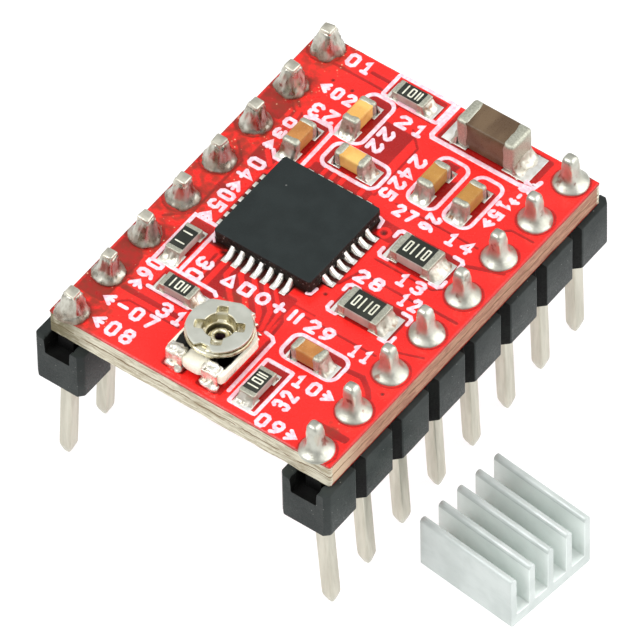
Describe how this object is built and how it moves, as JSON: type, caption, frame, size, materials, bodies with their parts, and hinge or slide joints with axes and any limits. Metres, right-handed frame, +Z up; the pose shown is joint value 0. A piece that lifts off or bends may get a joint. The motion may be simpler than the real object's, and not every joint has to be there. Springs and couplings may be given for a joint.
{
  "type": "stepper motor driver module",
  "caption": "Small red driver board on rows of header pins, with a driver chip, a trimmer with a turning slotted rotor, and a loose finned heatsink beside it.",
  "frame": {"origin": "middle of the two-row pin grid, on the plane of the pin tips", "axes": "+Z up out of the board's component side, +Y along the pin rows towards the end with the big capacitor, +X across the rows towards the row beside the sense resistors"},
  "size_m": [0.022, 0.02, 0.011],
  "materials": {
    "circuit_board": "glass-fibre laminate under glossy red solder mask",
    "header_plastic": "black moulded plastic, satin",
    "pin_plating": "tin-plated brass, satin",
    "solder": "bright solder",
    "chip_mould": "fine matte epoxy mould",
    "copper": "copper",
    "silicon": "polished silicon",
    "pale_ceramic": "pale yellow capacitor ceramic with tinned ends",
    "tan_ceramic": "orange-brown capacitor ceramic with tinned ends",
    "brown_ceramic": "dark brown capacitor ceramic with tinned ends",
    "resistor_coat": "black overglaze on white alumina with tinned ends",
    "white_ceramic": "off-white ceramic",
    "carbon_track": "black resistive film",
    "tin_plate": "tin-plated sheet",
    "rotor_steel": "nickel-plated sheet steel",
    "heatsink_aluminium": "clear-anodised extrusion, satin"
  },
  "bodies": {
    "module": {"pcb": "circuit_board", "header_strip_left": "header_plastic", "header_strip_right": "header_plastic", "chip_mould": "chip_mould", "chip_thermal_pad": "copper", "chip_die": "silicon", "trimmer_base": "white_ceramic", "trimmer_track": "carbon_track", "trimmer_terminal_left": "tin_plate", "trimmer_terminal_right": "tin_plate", "trimmer_terminal_rear": "tin_plate", "trimmer_eyelet": "rotor_steel", "header_pin_left_1": "pin_plating", "header_pin_left_2": "pin_plating", "header_pin_left_3": "pin_plating", "header_pin_left_4": "pin_plating", "header_pin_left_5": "pin_plating", "header_pin_left_6": "pin_plating", "header_pin_left_7": "pin_plating", "header_pin_left_8": "pin_plating", "header_pin_right_1": "pin_plating", "header_pin_right_2": "pin_plating", "header_pin_right_3": "pin_plating", "header_pin_right_4": "pin_plating", "header_pin_right_5": "pin_plating", "header_pin_right_6": "pin_plating", "header_pin_right_7": "pin_plating", "header_pin_right_8": "pin_plating", "solder_joint_left_1": "solder", "solder_joint_left_2": "solder", "solder_joint_left_3": "solder", "solder_joint_left_4": "solder", "solder_joint_left_5": "solder", "solder_joint_left_6": "solder", "solder_joint_left_7": "solder", "solder_joint_left_8": "solder", "solder_joint_right_1": "solder", "solder_joint_right_2": "solder", "solder_joint_right_3": "solder", "solder_joint_right_4": "solder", "solder_joint_right_5": "solder", "solder_joint_right_6": "solder", "solder_joint_right_7": "solder", "solder_joint_right_8": "solder", "capacitor_bulk": "brown_ceramic", "capacitor_far_left": "pale_ceramic", "capacitor_left": "tan_ceramic", "capacitor_far_middle": "pale_ceramic", "capacitor_pair_left": "pale_ceramic", "capacitor_pair_right": "pale_ceramic", "capacitor_near_right": "tan_ceramic", "resistor_far_left": "resistor_coat", "resistor_left": "resistor_coat", "resistor_near_left": "resistor_coat", "resistor_near_right": "resistor_coat", "sense_resistor_far": "resistor_coat", "sense_resistor_near": "resistor_coat"},
    "trimmer_rotor": {"trimmer_rotor": "rotor_steel", "trimmer_wiper": "rotor_steel"},
    "heatsink": {"heatsink": "heatsink_aluminium"}
  },
  "joints": [
    {"name": "trimmer_turn", "type": "hinge", "parent": "module", "child": "trimmer_rotor", "pos_m": [-0.00017, -0.00685, 0.0106], "axis": [0, 0, 1], "range_deg": [-130, 130]},
    {"name": "heatsink_lift", "type": "slide", "parent": "module", "child": "heatsink", "axis": [0, 0, 1], "range_m": [0, 0.015]}
  ]
}
